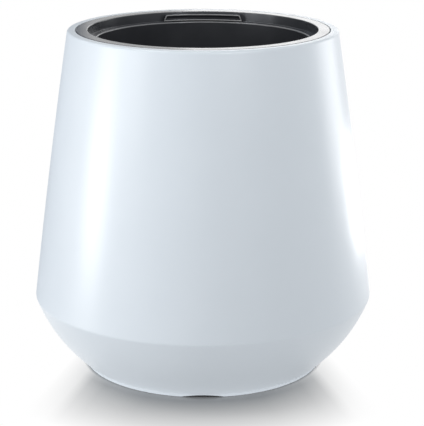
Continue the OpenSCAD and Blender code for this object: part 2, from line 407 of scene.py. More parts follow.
def make_plastic(name, dark, light, gloss, grain_size, grain_depth, flow_size, sheen=(1, 1, 1)):
    """Moulded plastic. Gloss is the range of roughness, and sizes are in metres."""
    material, tree, shader = new_material(name)
    shader.inputs["Specular Tint"].default_value = (*sheen, 1)
    scales = {"Grain per metre": 1 / grain_size, "Flow per metre": 1 / flow_size}
    skin = add(tree, "ShaderNodeGroup", scales, node_tree=skin_group).outputs
    bump = {"Height": skin["Grain"], "Strength": 1.0, "Distance": grain_depth}
    looks = {
        "Base Color": blend_colours(tree, skin["Flow"], dark, light),
        "Roughness": remap(tree, skin["Flow"], FLOW_LOW, FLOW_HIGH, *gloss,
                           interpolation_type="SMOOTHSTEP"),
        "Normal": add(tree, "ShaderNodeBump", bump).outputs[0]}
    for title, source in looks.items():
        tree.links.new(source, shader.inputs[title])
    return material


# each finish: dark and light tone, gloss, grain size and depth, flow size, and a sheen if tinted
CHARCOAL = ((0.0328, 0.0346, 0.0392), (0.0386, 0.0405, 0.0457), (0.2, 0.24),
            0.7 * MM, 0.006 * MM, 40 * MM, (0.9, 0.94, 1))
white_plastic = make_plastic("satin_white", (0.715, 0.78, 0.845), (0.73, 0.795, 0.86),
                             (0.31, 0.35), 0.5 * MM, 0.006 * MM, 60 * MM)
grip_plastic = make_plastic("grip_charcoal", *CHARCOAL)
insert_plastic = make_plastic("insert_charcoal", *CHARCOAL)
plug_plastic = make_plastic("smooth_grey", (0.055, 0.056, 0.059), (0.062, 0.063, 0.066),
                            (0.36, 0.42), 0.4 * MM, 0.004 * MM, 20 * MM)
gasket_rubber = make_plastic("gasket_rubber", (0.018, 0.018, 0.018), (0.024, 0.024, 0.024),
                             (0.6, 0.7), 0.3 * MM, 0.01 * MM, 10 * MM)
# pale plastic for the grips' edge faces: a painted highlight, standing in for glints
painted_glint_plastic = make_plastic("painted_glint_charcoal", (0.27, 0.275, 0.285), (0.33, 0.336, 0.348),
                              (0.18, 0.22), 0.7 * MM, 0.002 * MM, 15 * MM)
print("finishes:", [material.name for material in bpy.data.materials if material.use_nodes])

# %% [markdown]
# ## Painted edge highlights
# The dark plastic's rounded edges are painted pale, a painted highlight that stands in for
# the thin glints that the lamps make on them. The grips' edges are faces of their own, so
# they simply take the pale plastic. The insert's edges are rings, so a group of nodes
# finds them by their radius and height and its mask lightens the plastic there. Painting
# the mask by hand would work as well, but the rule stays right when a size changes.

# %% Painted highlight rings
RING_CORE = 0.7
RING_END = 1.1


def make_glint_ring_group():
    """A mask that is 1 on a ring of the given radius and height, and fades over its width."""
    tree, given = new_shader_group("painted_glint_ring", ("Radius", "Height", "Width"), ("Mask",))
    axes = axes_of(tree, add(tree, "ShaderNodeTexCoord").outputs["Object"])
    radius = length_of(tree, from_axes(tree, X=axes["X"], Y=axes["Y"]))
    offset = from_axes(tree, X=calc(tree, "SUBTRACT", radius, given["Radius"]),
                       Y=calc(tree, "SUBTRACT", axes["Z"], given["Height"]))
    away = calc(tree, "DIVIDE", length_of(tree, offset), given["Width"])
    add(tree, "NodeGroupOutput", {"Mask": remap(tree, away, RING_CORE, RING_END, 1.0, 0.0)})
    return tree


ring_group = make_glint_ring_group()


def paint_glint_ring(material, radius, height, width, colour):
    """Paints a highlight: lightens a plastic along a ring."""
    tree = material.node_tree
    base = tree.nodes["Principled BSDF"].inputs["Base Color"]
    sizes = {"Radius": radius, "Height": height, "Width": width}
    mask = add(tree, "ShaderNodeGroup", sizes, node_tree=ring_group).outputs["Mask"]
    mix = add(tree, "ShaderNodeMix", {
        "Factor": mask, "A": base.links[0].from_socket, "B": (*colour, 1)}, data_type="RGBA")
    tree.links.new(mix.outputs["Result"], base)


print("ring group:", len(ring_group.nodes), "nodes")

# %% [markdown]
# ## Outer shell
# The upper wall runs from the belly crease to a rounded lip. Inside the lip a step
# carries the insert's flange. The whole outline is one closed loop, so the shell gets
# its real thickness.

# %% Shell outline
POT_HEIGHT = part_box("outer_shell")[1].z
CREASE = at(195 * MM, 81.5 * MM)
RIM = at(152.25 * MM, POT_HEIGHT)
FOOT_TOP = at(139.3 * MM, 4 * MM)
WALL = 3.5 * MM
LIP_WIDTH = 8.9 * MM
SEAM = 1.1 * MM
FLANGE_THICK = 3.2 * MM
SEAT_WIDTH = 6 * MM
SEAT_THICK = 3 * MM
TONGUE_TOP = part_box("base_bowl")[1].z
TONGUE_GAP = 0.2 * MM
TONGUE_THICK = 2.5 * MM
BOWL_BOW = 6.4 * MM
WALL_BOW = 1.3 * MM
CREASE_ROUND = 5.5 * MM
LIP_ROUND = 3.2 * MM
LIP_EDGE = 0.35 * MM
EDGE = 0.5 * MM

bowl_path = bowed(FOOT_TOP, CREASE, BOWL_BOW)
wall_path = bowed(CREASE, RIM, WALL_BOW)
wall_inside = moved(wall_path, WALL)
bowl_inside = moved(bowl_path, WALL)
crease_arc = rounded(bowl_path[-2], CREASE, wall_path[1], CREASE_ROUND, hold=0.2)
parting = crease_arc[1]
lip_radius = RIM.x - LIP_WIDTH
flange_radius = lip_radius - SEAM
seat_height = POT_HEIGHT - FLANGE_THICK
seat_under = seat_height - SEAT_THICK
seat_radius = lip_radius - SEAT_WIDTH
socket_top = TONGUE_TOP + TONGUE_GAP
socket_radius = between(wall_inside, socket_top, HEIGHT, RADIUS)
lip_corner = at(lip_radius, POT_HEIGHT)
seat_corner = at(seat_radius, seat_height)

shell_outline = (
    crease_arc[1:] + wall_path[2:-2]
    + rounded(wall_path[-2], RIM, lip_corner, LIP_ROUND, hold=0.15)
    + rounded(RIM, lip_corner, at(lip_radius, seat_height), LIP_EDGE)
    + [at(lip_radius, seat_height)]
    + rounded(at(lip_radius, seat_height), seat_corner, at(seat_radius, seat_under), EDGE)
    + rounded(seat_corner, at(seat_radius, seat_under), at(RIM.x, seat_under), EDGE)
    + [at(between(wall_inside, seat_under, HEIGHT, RADIUS), seat_under)]
    + [p for p in reversed(wall_inside) if socket_top < p.y < seat_under]
    + [at(socket_radius, socket_top), at(socket_radius, parting.y), parting]
)
print("shell outline:", len(shell_outline), "points")

# %% Shell piece
ROUND_STEPS = 320


def make_round_tree():
    tree, given = new_shape_tree("round_moulding", [
        ("Geometry", "Outline"), ("Int", "Steps"), ("Material", "Finish")])
    return end_shape_tree(tree, revolve(tree, given["Outline"], given["Steps"]), given["Finish"])


round_tree = make_round_tree()
shell = make_piece("shell_wall", round_tree, shell_outline,
                   {"Steps": ROUND_STEPS, "Finish": white_plastic})
hand_over(shell, "outer_body", "outer_shell")

# %% [markdown]
# ## Base bowl
# The lower wall, the floor and the foot ring are one moulding. Its tongue stands inside
# the shell, so the two white mouldings meet exactly on the crease and the seam hardly
# shows. The outline is revolved like the shell's, and the tree then adds what isn't
# round: it lifts the foot into low arches that let air under the pot, and joins on the
# ribs under the floor. A boolean could cut the arches too, but moving the foot's own
# points keeps its rounded edge all the way through an arch.

# %% Bowl outline
FOOT_EDGE = at(137.9 * MM, 0)
FOOT_WIDTH = 5 * MM
FLOOR_LIFT = 10 * MM
FLOOR_THICK = 3.5 * MM
DRAIN_RADIUS = 13 * MM
BOSS_RADIUS = 16 * MM
BOSS_DEPTH = 4 * MM
FOOT_ROUND = 1 * MM
FOOT_TOP_ROUND = 0.8 * MM
FLOOR_ROUND = 6 * MM

ring_radius = FOOT_EDGE.x - FOOT_WIDTH
floor_top = FLOOR_LIFT + FLOOR_THICK
boss_under = FLOOR_LIFT - BOSS_DEPTH
tongue_out = socket_radius - TONGUE_GAP
tongue_in = tongue_out - TONGUE_THICK
ring_foot = at(ring_radius, 0)
ring_head = at(ring_radius, FLOOR_LIFT)
boss_head = at(BOSS_RADIUS, FLOOR_LIFT)
boss_foot = at(BOSS_RADIUS, boss_under)
hole_foot = at(DRAIN_RADIUS, boss_under)
hole_head = at(DRAIN_RADIUS, floor_top)
floor_edge = at(between(bowl_inside, floor_top, HEIGHT, RADIUS), floor_top)
tongue_foot = at(tongue_in, between(bowl_inside, tongue_in, RADIUS, HEIGHT))
bowl_inner = [p for p in bowl_inside if p.x < tongue_in and p.y > floor_top]

bowl_outline = cornered(
    [(ring_foot, EDGE), (FOOT_EDGE, FOOT_ROUND), (FOOT_TOP, FOOT_TOP_ROUND, FEW_STEPS)]
    + bowl_path[1:-1] + [crease_arc[0], parting]
    + [at(tongue_out, parting.y), at(tongue_out, TONGUE_TOP), at(tongue_in, TONGUE_TOP), tongue_foot]
    + bowl_inner[::-1] + [(floor_edge, FLOOR_ROUND)]
    + [(corner, EDGE) for corner in (hole_head, hole_foot, boss_foot, boss_head, ring_head)],
    closed=True)
print("bowl outline:", len(bowl_outline), "points")

# %% Bowl tree
def make_bowl_tree():
    tree, given = new_shape_tree("base_bowl", [
        ("Geometry", "Outline"), ("Int", "Steps", "Arch count", "Rib count"), ("Material", "Finish"),
        ("Float", "Foot height", "Arch radius", "Arch height"), ("Vector", "Rib size", "Rib place")])
    bowl = revolve(tree, given["Outline"], given["Steps"])

    spot = add(tree, "GeometryNodeInputPosition").outputs[0]
    axes = axes_of(tree, spot)
    radius = length_of(tree, spot)
    turn = calc(tree, "ARCTAN2", axes["X"], calc(tree, "MULTIPLY", axes["Y"], -1))
    half_pitch = calc(tree, "DIVIDE", math.pi, given["Arch count"])
    turn = calc(tree, "WRAP", turn, half_pitch, calc(tree, "MULTIPLY", half_pitch, -1))
    across = calc(tree, "MULTIPLY", radius, calc(tree, "SINE", turn))
    round_part = calc(tree, "SUBTRACT", calc(tree, "POWER", given["Arch radius"], 2),
                      calc(tree, "POWER", calc(tree, "ABSOLUTE", across), 2))
    arch = calc(tree, "SQRT", calc(tree, "MAXIMUM", round_part, 0))
    sunk = calc(tree, "SUBTRACT", given["Arch radius"], given["Arch height"])
    lift = calc(tree, "MAXIMUM", calc(tree, "SUBTRACT", arch, sunk), 0)
    share = calc(tree, "SUBTRACT", 1, calc(tree, "DIVIDE", axes["Z"], given["Foot height"]))
    lift = calc(tree, "MULTIPLY", lift, calc(tree, "MAXIMUM", share, 0))
    offset = from_axes(tree, Z=lift)
    bowl = add(tree, "GeometryNodeSetPosition", {0: bowl, "Offset": offset}).outputs[0]

    rib = add(tree, "GeometryNodeMeshCube", {"Size": given["Rib size"]}).outputs["Mesh"]
    rib = add(tree, "GeometryNodeTransform", {0: rib, "Translation": given["Rib place"]}).outputs[0]
    ribs = spread(tree, rib, given["Rib count"])
    return end_shape_tree(tree, combine(tree, "UNION", bowl, ribs), given["Finish"])


def spread(tree, shape, count):
    """Copies of a shape, turned evenly round the axis."""
    points = add(tree, "GeometryNodePoints", {"Count": count}).outputs[0]
    index = add(tree, "GeometryNodeInputIndex").outputs[0]
    angle = calc(tree, "DIVIDE", calc(tree, "MULTIPLY", index, math.tau), count)
    turn = from_axes(tree, Z=angle)
    copies = add(tree, "GeometryNodeInstanceOnPoints",
                 {"Points": points, "Instance": shape, "Rotation": turn}).outputs[0]
    return add(tree, "GeometryNodeRealizeInstances", {0: copies}).outputs[0]


def combine(tree, operation, first, *others):
    """Joins or cuts closed meshes."""
    node = add(tree, "GeometryNodeMeshBoolean", operation=operation, solver="MANIFOLD")
    if operation == "DIFFERENCE":
        tree.links.new(first, node.inputs["Mesh 1"])
    else:
        others = (first,) + others
    for mesh in others:
        tree.links.new(mesh, node.inputs["Mesh 2"])
    return node.outputs["Mesh"]


bowl_tree = make_bowl_tree()
print("bowl tree:", len(bowl_tree.nodes), "nodes")

# %% Bowl piece
BOWL_STEPS = 480
ARCH_COUNT = 3
ARCH_WIDTH = 48 * MM
ARCH_HEIGHT = 2.4 * MM
RIB_COUNT = 6
RIB_DEPTH = 5 * MM
RIB_THICK = 2.4 * MM
OVERLAP = 0.1 * MM

arch_radius = ((ARCH_WIDTH / 2) ** 2 + ARCH_HEIGHT ** 2) / (2 * ARCH_HEIGHT)
rib_length = ring_radius - BOSS_RADIUS + 2 * OVERLAP
bowl = make_piece("base_bowl_wall", bowl_tree, bowl_outline, {
    "Steps": BOWL_STEPS, "Finish": white_plastic, "Foot height": FOOT_TOP.y,
    "Arch count": ARCH_COUNT, "Arch radius": arch_radius, "Arch height": ARCH_HEIGHT,
    "Rib count": RIB_COUNT, "Rib size": (rib_length, RIB_THICK, RIB_DEPTH + OVERLAP),
    "Rib place": ((ring_radius + BOSS_RADIUS) / 2, 0, FLOOR_LIFT - (RIB_DEPTH - OVERLAP) / 2)})
hand_over(bowl, "outer_body", "base_bowl")

# %% [markdown]
# ## Planting insert
# The insert hangs in the shell by its flange. Below the flange a short collar drops to a
# ledge for the handles, and the bucket runs down to a floor with drainage holes and
# studs. The studs and holes repeat round the axis and the four guides for the handles'
# legs repeat too, so one tree revolves the outline, joins the studs and guides and cuts
# the holes and slots.

# %% Insert outline
FLANGE_WIDTH = 12.6 * MM
COLLAR_TAPER = 1 * MM
LEDGE_DROP = 10.9 * MM
LEDGE_WIDTH = 8.1 * MM
INSERT_WALL = 2.2 * MM
BUCKET_DRAFT = math.tan(math.radians(3))
BUCKET_ROUND = 12 * MM
BUCKET_HOLD = 0.05
STUD_HEIGHT = 6 * MM
FLANGE_EDGE = 0.4 * MM
COLLAR_EDGE = 0.8 * MM
LEDGE_EDGE = 1.4 * MM

insert_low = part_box("planting_insert")[0].z
insert_under = insert_low + STUD_HEIGHT
insert_floor = insert_under + INSERT_WALL
ledge = POT_HEIGHT - LEDGE_DROP
ledge_under = ledge - INSERT_WALL
collar_radius = flange_radius - FLANGE_WIDTH
collar_foot_radius = collar_radius - COLLAR_TAPER
ledge_radius = collar_foot_radius - LEDGE_WIDTH


def bucket_radius(height):
    return ledge_radius - (ledge - height) * BUCKET_DRAFT


middle_under = at(0, insert_under)
middle = at(0, insert_floor)
outer_foot = at(bucket_radius(insert_under) + INSERT_WALL, insert_under)
outer_top = at(bucket_radius(ledge_under) + INSERT_WALL, ledge_under)
collar_under = at(collar_foot_radius + INSERT_WALL, ledge_under)
flange_under = at(collar_radius + INSERT_WALL, seat_height)
flange_foot = at(flange_radius, seat_height)
flange_edge = at(flange_radius, POT_HEIGHT)
collar_top = at(collar_radius, POT_HEIGHT)
collar_foot = at(collar_foot_radius, ledge)
ledge_edge = at(ledge_radius, ledge)
inner_foot = at(bucket_radius(insert_floor), insert_floor)

insert_outline = cornered([
    middle_under, (outer_foot, BUCKET_ROUND + INSERT_WALL, ARC_STEPS, BUCKET_HOLD),
    outer_top, collar_under, flange_under,
    (flange_foot, EDGE), (flange_edge, FLANGE_EDGE), (collar_top, COLLAR_EDGE),
    (collar_foot, EDGE), (ledge_edge, LEDGE_EDGE),
    (inner_foot, BUCKET_ROUND, ARC_STEPS, BUCKET_HOLD), middle])
print("insert outline:", len(insert_outline), "points")

# %% Insert tree
BAR_COLUMNS = 9
PEG_SIDES = 48


def make_bent_bar_tree():
    """A bar bent round the axis, centred on +Y."""
    tree, given = new_shape_tree("bent_bar", [
        ("Float", "Inner radius", "Outer radius", "Low", "High", "Half angle")])
    block = add(tree, "GeometryNodeMeshCube",
                {"Vertices X": BAR_COLUMNS, "Size": (2, 1, 1)}).outputs["Mesh"]
    axes = axes_of(tree, add(tree, "GeometryNodeInputPosition").outputs[0])
    angle = calc(tree, "MULTIPLY", axes["X"], given["Half angle"])
    depth = remap(tree, axes["Y"], -0.5, 0.5, given["Inner radius"], given["Outer radius"])
    height = remap(tree, axes["Z"], -0.5, 0.5, given["Low"], given["High"])
    placed = from_axes(tree, X=calc(tree, "MULTIPLY", depth, calc(tree, "SINE", angle)),
                       Y=calc(tree, "MULTIPLY", depth, calc(tree, "COSINE", angle)), Z=height)
    bar = add(tree, "GeometryNodeSetPosition", {0: block, "Position": placed}).outputs[0]
    return end_shape_tree(tree, bar)


bent_bar_tree = make_bent_bar_tree()


def bent_bar(tree, inner, outer, low, high, half_angle):
    """Places the bent bar tree in another tree."""
    return add(tree, "GeometryNodeGroup", {
        "Inner radius": inner, "Outer radius": outer, "Low": low, "High": high,
        "Half angle": half_angle}, node_tree=bent_bar_tree).outputs[0]


def at_legs(tree, shape, leg_angle):
    """Copies of a shape at the four legs, which pair up on the front and the back."""
    pair = add(tree, "GeometryNodeJoinGeometry")
    for way in (1, -1):
        turn = from_axes(tree, Z=calc(tree, "MULTIPLY", leg_angle, way))
        copy = add(tree, "GeometryNodeTransform", {0: shape, "Rotation": turn}).outputs[0]
        tree.links.new(copy, pair.inputs[0])
    return spread(tree, pair.outputs[0], 2)


def ring_of_pegs(tree, count, circle, radius, low, high):
    """Upright round pegs on a circle."""
    depth = calc(tree, "SUBTRACT", high, low)
    peg = add(tree, "GeometryNodeMeshCylinder", {
        "Vertices": PEG_SIDES, "Radius": radius, "Depth": depth}).outputs["Mesh"]
    middle = calc(tree, "MULTIPLY", calc(tree, "ADD", low, high), 0.5)
    place = from_axes(tree, X=circle, Z=middle)
    peg = add(tree, "GeometryNodeTransform", {0: peg, "Translation": place}).outputs[0]
    return spread(tree, peg, count)


def make_insert_tree():
    tree, given = new_shape_tree("planting_insert", [
        ("Geometry", "Outline"), ("Int", "Steps", "Stud count", "Hole count"), ("Material", "Finish"),
        ("Float", "Stud circle", "Stud radius", "Stud end", "Hole circle", "Hole radius", "Leg angle",
         "Guide inner", "Guide outer", "Guide half angle", "Guide end",
         "Slot inner", "Slot outer", "Slot half angle", "Ledge", "Ledge under", "Floor", "Floor under")])
    bucket = revolve(tree, given["Outline"], given["Steps"])
    guide = bent_bar(tree, given["Guide inner"], given["Guide outer"], given["Guide end"],
                     calc(tree, "ADD", given["Ledge under"], OVERLAP), given["Guide half angle"])
    studs = ring_of_pegs(tree, given["Stud count"], given["Stud circle"], given["Stud radius"],
                         given["Stud end"], calc(tree, "ADD", given["Floor under"], OVERLAP))
    whole = combine(tree, "UNION", bucket, at_legs(tree, guide, given["Leg angle"]), studs)
    slot = bent_bar(tree, given["Slot inner"], given["Slot outer"],
                    calc(tree, "SUBTRACT", given["Guide end"], OVERLAP),
                    calc(tree, "ADD", given["Ledge"], OVERLAP), given["Slot half angle"])
    holes = ring_of_pegs(tree, given["Hole count"], given["Hole circle"], given["Hole radius"],
                         calc(tree, "SUBTRACT", given["Floor under"], OVERLAP),
                         calc(tree, "ADD", given["Floor"], OVERLAP))
    cut = combine(tree, "DIFFERENCE", whole, at_legs(tree, slot, given["Leg angle"]), holes)
    return end_shape_tree(tree, cut, given["Finish"])


insert_tree = make_insert_tree()
print("insert tree:", len(insert_tree.nodes), "nodes")

# %% Insert piece
STUD_COUNT = 6
STUD_RADIUS = 7 * MM
HOLE_COUNT = 12
HOLE_RADIUS = 4 * MM
GRIP_SETBACK = 0.9 * MM
GRIP_GAP = 0.6 * MM
GRIP_WIDTH = 93 * MM
LEG_WIDTH = 8 * MM
LEG_THICK = 2.6 * MM
LEG_INSET = 1.5 * MM
LEG_GAP = 0.4 * MM
GUIDE_WALL = 1.6 * MM
GUIDE_LENGTH = 24 * MM
# pale colours for the collar and ledge edges: painted highlights, standing in for glints
COLLAR_PAINTED_GLINT = (0.09, 0.092, 0.096)
LEDGE_PAINTED_GLINT = (0.17, 0.173, 0.18)

stud_circle = bucket_radius(insert_under) - BUCKET_ROUND - STUD_RADIUS
hole_circle = stud_circle - STUD_RADIUS - 2 * HOLE_RADIUS
grip_inner = ledge_radius + GRIP_SETBACK
grip_outer = collar_foot_radius - GRIP_GAP
leg_radius = (grip_inner + grip_outer) / 2
leg_half_angle = math.asin(LEG_WIDTH / 2 / leg_radius)
leg_angle = math.asin((GRIP_WIDTH / 2 - LEG_INSET) / leg_radius) - leg_half_angle
slot_half_angle = leg_half_angle + math.asin(LEG_GAP / leg_radius)
guide_half_angle = leg_half_angle + math.asin((LEG_GAP + GUIDE_WALL) / leg_radius)
guide_end = ledge_under - GUIDE_LENGTH
guide_inner = max(ledge_radius + OVERLAP, bucket_radius(guide_end) + INSERT_WALL - OVERLAP)
guide_outer = leg_radius + LEG_THICK / 2 + LEG_GAP + GUIDE_WALL

insert = make_piece("insert_bucket", insert_tree, insert_outline, {
    "Steps": ROUND_STEPS, "Finish": insert_plastic,
    "Stud count": STUD_COUNT, "Stud circle": stud_circle, "Stud radius": STUD_RADIUS,
    "Hole count": HOLE_COUNT, "Hole circle": hole_circle, "Hole radius": HOLE_RADIUS,
    "Leg angle": leg_angle, "Guide inner": guide_inner, "Guide outer": guide_outer,
    "Guide half angle": guide_half_angle, "Guide end": guide_end,
    "Slot inner": leg_radius - LEG_THICK / 2 - LEG_GAP,
    "Slot outer": leg_radius + LEG_THICK / 2 + LEG_GAP, "Slot half angle": slot_half_angle,
    "Ledge": ledge, "Ledge under": ledge_under,
    "Floor": insert_floor, "Floor under": insert_under, "Stud end": insert_low})
# paints highlights along the collar's and the ledge's rounded edges
paint_glint_ring(insert_plastic, collar_radius, POT_HEIGHT, COLLAR_EDGE, COLLAR_PAINTED_GLINT)
paint_glint_ring(insert_plastic, ledge_radius, ledge, LEDGE_EDGE, LEDGE_PAINTED_GLINT)
hand_over(insert, "insert", "planting_insert")

# %% [markdown]
# ## Pull-up handles
# A handle is a curved bar with a finger recess in its face and a leg at each end that
# runs down through the ledge. The bar could be a block with a boolean cut, but the cut
# leaves slivers along its curved rim that no bevel can round. So its front view is drawn
# as a grid, and rings of that grid are set one inside the other along a section: round
# the back edge, over the rim and down into the recess. The legs are plain bent blocks
# that booleans join on.

# %% Bent grids and blocks
BLOCK_COLUMNS = 8
LEG_BEVEL = 0.25 * MM
GRIP_LIFT = 1.1 * MM
GRIP_SINK = 2.3 * MM
GRIP_LEAN = 2.5 * MM
GRIP_ROUND = 2.6 * MM
RECESS_ROUND = 0.73 * MM
grip_base = ledge + GRIP_LIFT
grip_top = POT_HEIGHT - GRIP_SINK


def bent_grid(rows, radius, columns=64):
    """Rows of points on a cylinder about the axis, from rows of height and half width."""
    steps = [2 * i / columns - 1 for i in range(columns + 1)]
    return [[Vector((half * t, math.sqrt(radius ** 2 - (half * t) ** 2), height)) for t in steps]
            for height, half in rows]


def border(grid):
    """The way round a grid's outermost points."""
    left = [row[0] for row in grid]
    right = [row[-1] for row in grid]
    return grid[0][:-1] + right[:-1] + grid[-1][:0:-1] + left[:0:-1]


def nested_grids(name, layers, glint_steps=()):
    """A closed solid: a full grid at each end, and rings of the grids between. The listed steps take the
    second material, a painted highlight.
    """
    form = bmesh.new()
    corners = [[[form.verts.new(spot) for spot in row] for row in grid]
               for grid in (layers[0], layers[-1])]
    for grid in corners:
        for low, high in zip(grid, grid[1:]):
            for quad in zip(low, low[1:], high[1:], high):
                form.faces.new(quad)
    inner = [[form.verts.new(spot) for spot in border(grid)] for grid in layers[1:-1]]
    rings = [border(corners[0])] + inner + [border(corners[1])]
    for step, (ring, after) in enumerate(zip(rings, rings[1:])):
        for quad in zip(ring, ring[1:] + ring[:1], after[1:] + after[:1], after):
            form.faces.new(quad).material_index = int(step in glint_steps)
    bmesh.ops.recalc_face_normals(form, faces=form.faces)
    mesh = bpy.data.meshes.new(name)
    form.to_mesh(mesh)
    form.free()
    return new_object(name, mesh)


def bent_block(name, low, high, half, inner, outer):
    """A block bent round the axis, with broken edges."""
    rows = [(low, half), (high, half)]
    block = nested_grids(name, [bent_grid(rows, radius, BLOCK_COLUMNS) for radius in (inner, outer)])
    bevel = block.modifiers.new("broken_edges", "BEVEL")
    bevel.width = LEG_BEVEL
    bevel.segments = 2
    bevel.limit_method = "ANGLE"
    bevel.angle_limit = SHARP_CORNER
    return block


def grip_rows(inset, steps=10):
    """Rows of the grip's front view, drawn in from its edges by an inset."""
    low_half = GRIP_WIDTH / 2 - inset
    low = at(low_half, grip_base + inset)
    high = at(low_half - GRIP_LEAN, grip_top - inset)
    corner = rounded(low, high, at(0, high.y), max(GRIP_ROUND - inset, RECESS_ROUND), steps, hold=0)
    return [(p.y, p.x) for p in [low] + corner[1:-1]]


print("grip rows:", len(grip_rows(0)))

# %% Handle
GRIP_RIM = 1.4 * MM
GRIP_BACK = 1.6 * MM
GRIP_EDGE = 0.5 * MM
GRIP_HOLD = 0.1
SHOULDER_INSET = 0.4 * MM
HANDLE_TRAVEL = 45 * MM
STOP_GAP = 0.3 * MM
STOP_HEIGHT = 5 * MM
STOP_WIDTH = 6 * MM
LEG_TIP = 2 * MM


def make_grip(name):
    """The bar. Its section is drawn in the plane of inset and radius, from back to recess."""
    back = at(0, grip_outer)
    front = at(0, grip_inner)
    rim = at(GRIP_RIM, grip_inner)
    recess = at(GRIP_RIM, grip_outer - GRIP_BACK)
    way = [at(GRIP_RIM, grip_outer), back, front, rim, recess]
    turns = zip(way, way[1:], way[2:])
    section = [p for corner in turns for p in rounded(*corner, GRIP_EDGE, FEW_STEPS, GRIP_HOLD)]
    section.append(recess)
    face = grip_inner + GRIP_EDGE
    # the faces of the front rim take the pale plastic, a painted highlight along the grip's edges
    glint_steps = [i for i, (p, q) in enumerate(zip(section, section[1:])) if max(p.y, q.y) <= face]
    grip = nested_grids(name, [bent_grid(grip_rows(p.x), p.y) for p in section], glint_steps)
    for finish in (grip_plastic, painted_glint_plastic):
        grip.data.materials.append(finish)
    return grip


def join_block(piece, block):
    """Joins a block to a piece, in the piece's own finish, and removes the block."""
    block.data.materials.append(piece.data.materials[0])
    modifier = piece.modifiers.new("join", "BOOLEAN")
    modifier.operation = "UNION"
    modifier.object = block
    modifier.solver = "MANIFOLD"
    apply_modifiers(piece)
    bpy.data.objects.remove(block)


def turned(block, angle):
    """A block after a turn about the axis."""
    block.data.transform(Matrix.Rotation(angle, 4, "Z"))
    return block


def shade(piece):
    """Smooth faces, with sharp edges at real corners."""
    piece.data.shade_smooth()
    piece.data.set_sharp_from_angle(angle=SHARP_CORNER)


def make_handle(name, facing):
    """A handle for one side of the ledge. Facing is its turn about the axis."""
    handle = make_grip(name)
    stop_top = guide_end - HANDLE_TRAVEL - STOP_GAP
    stop_low = stop_top - STOP_HEIGHT
    shoulder_half = leg_radius * math.sin(slot_half_angle)
    for angle in (-leg_angle, leg_angle):
        shoulder = bent_block("shoulder", ledge, grip_base + GRIP_EDGE, shoulder_half,
                              grip_inner + SHOULDER_INSET, grip_outer - SHOULDER_INSET)
        leg = bent_block("leg", stop_low - LEG_TIP, ledge + LEG_BEVEL, LEG_WIDTH / 2,
                         leg_radius - LEG_THICK / 2, leg_radius + LEG_THICK / 2)
        stop = bent_block("stop", stop_low, stop_top, STOP_WIDTH / 2, leg_radius, guide_outer)
        for block in (shoulder, leg, stop):
            join_block(handle, turned(block, angle))
    turned(handle, facing)
    settle(handle)
    shade(handle)
    return handle


for side, facing in (("back", 0), ("front", math.pi)):
    handle = make_handle(side + "_grip", facing)
    hand_over(handle, side + "_handle", side + "_handle")

# %% [markdown]
# ## Drain plug and gasket
# The plug closes the drain hole from above, so the weight of the water holds it shut.
# Its head and hollow stem are revolved, and a half-round tab to pull it by is joined on.
# The gasket is a flat rubber ring with soft edges.

# %% Plug and gasket
PLUG_GAP = 0.3 * MM
PLUG_RIM = 7 * MM
PLUG_HEAD = 3 * MM
PLUG_WALL = 2.2 * MM
GASKET_THICK = 2 * MM
TAB_RADIUS = 9 * MM
TAB_THICK = 4 * MM
TAB_EDGE = 0.8 * MM
HEAD_EDGE = 1 * MM
GASKET_EDGE = 0.4 * MM
PLUG_STEPS = 96

stem_radius = DRAIN_RADIUS - PLUG_GAP
bore_radius = stem_radius - PLUG_WALL
head_radius = DRAIN_RADIUS + PLUG_RIM
head_under = floor_top + GASKET_THICK
head_top = head_under + PLUG_HEAD


def closed_ring(inner, outer, low, high, edge):
    """A ring's outline with four rounded edges."""
    corners = [at(inner, low), at(outer, low), at(outer, high), at(inner, high)]
    return cornered([(corner, edge, FEW_STEPS) for corner in corners], closed=True)


plug_outline = cornered([
    at(0, head_under), at(bore_radius, head_under),
    (at(bore_radius, FLOOR_LIFT), EDGE), (at(stem_radius, FLOOR_LIFT), EDGE),
    at(stem_radius, head_under), (at(head_radius, head_under), EDGE),
    (at(head_radius, head_top), HEAD_EDGE), at(0, head_top)])
plug = make_piece("plug_stopper", round_tree, plug_outline,
                  {"Steps": PLUG_STEPS, "Finish": plug_plastic})
gasket = make_piece("plug_seal", round_tree,
                    closed_ring(DRAIN_RADIUS, head_radius, floor_top, head_under, GASKET_EDGE),
                    {"Steps": PLUG_STEPS, "Finish": gasket_rubber})


def make_tab(steps=40):
    """A half-round tab that stands on the plug's head."""
    turns = [math.pi * i / steps for i in range(steps + 1)]
    arc = [(TAB_RADIUS * math.cos(t), head_top + TAB_RADIUS * math.sin(t)) for t in turns]
    outline = arc + [(-TAB_RADIUS, head_top - OVERLAP), (TAB_RADIUS, head_top - OVERLAP)]
    form = bmesh.new()
    face = form.faces.new([form.verts.new((x, -TAB_THICK / 2, z)) for x, z in outline])
    grown = bmesh.ops.extrude_face_region(form, geom=[face])
    moving = [item for item in grown["geom"] if isinstance(item, bmesh.types.BMVert)]
    bmesh.ops.translate(form, verts=moving, vec=(0, TAB_THICK, 0))
    bmesh.ops.recalc_face_normals(form, faces=form.faces)
    rims = [e for e in form.edges if len({round(v.co.y, 6) for v in e.verts}) == 1]
    high = [e for e in rims if min(v.co.z for v in e.verts) > head_top - OVERLAP / 2]
    bmesh.ops.bevel(form, geom=high, offset=TAB_EDGE, segments=3, profile=0.5, affect="EDGES")
    mesh = bpy.data.meshes.new("tab")
    form.to_mesh(mesh)
    form.free()
    return new_object("tab", mesh)


join_block(plug, make_tab())
shade(plug)
hand_over(plug, "drain_plug", "drain_plug")
hand_over(gasket, "drain_plug", "plug_gasket")
print("plug:", len(plug.data.polygons), "faces, gasket:", len(gasket.data.polygons), "faces")

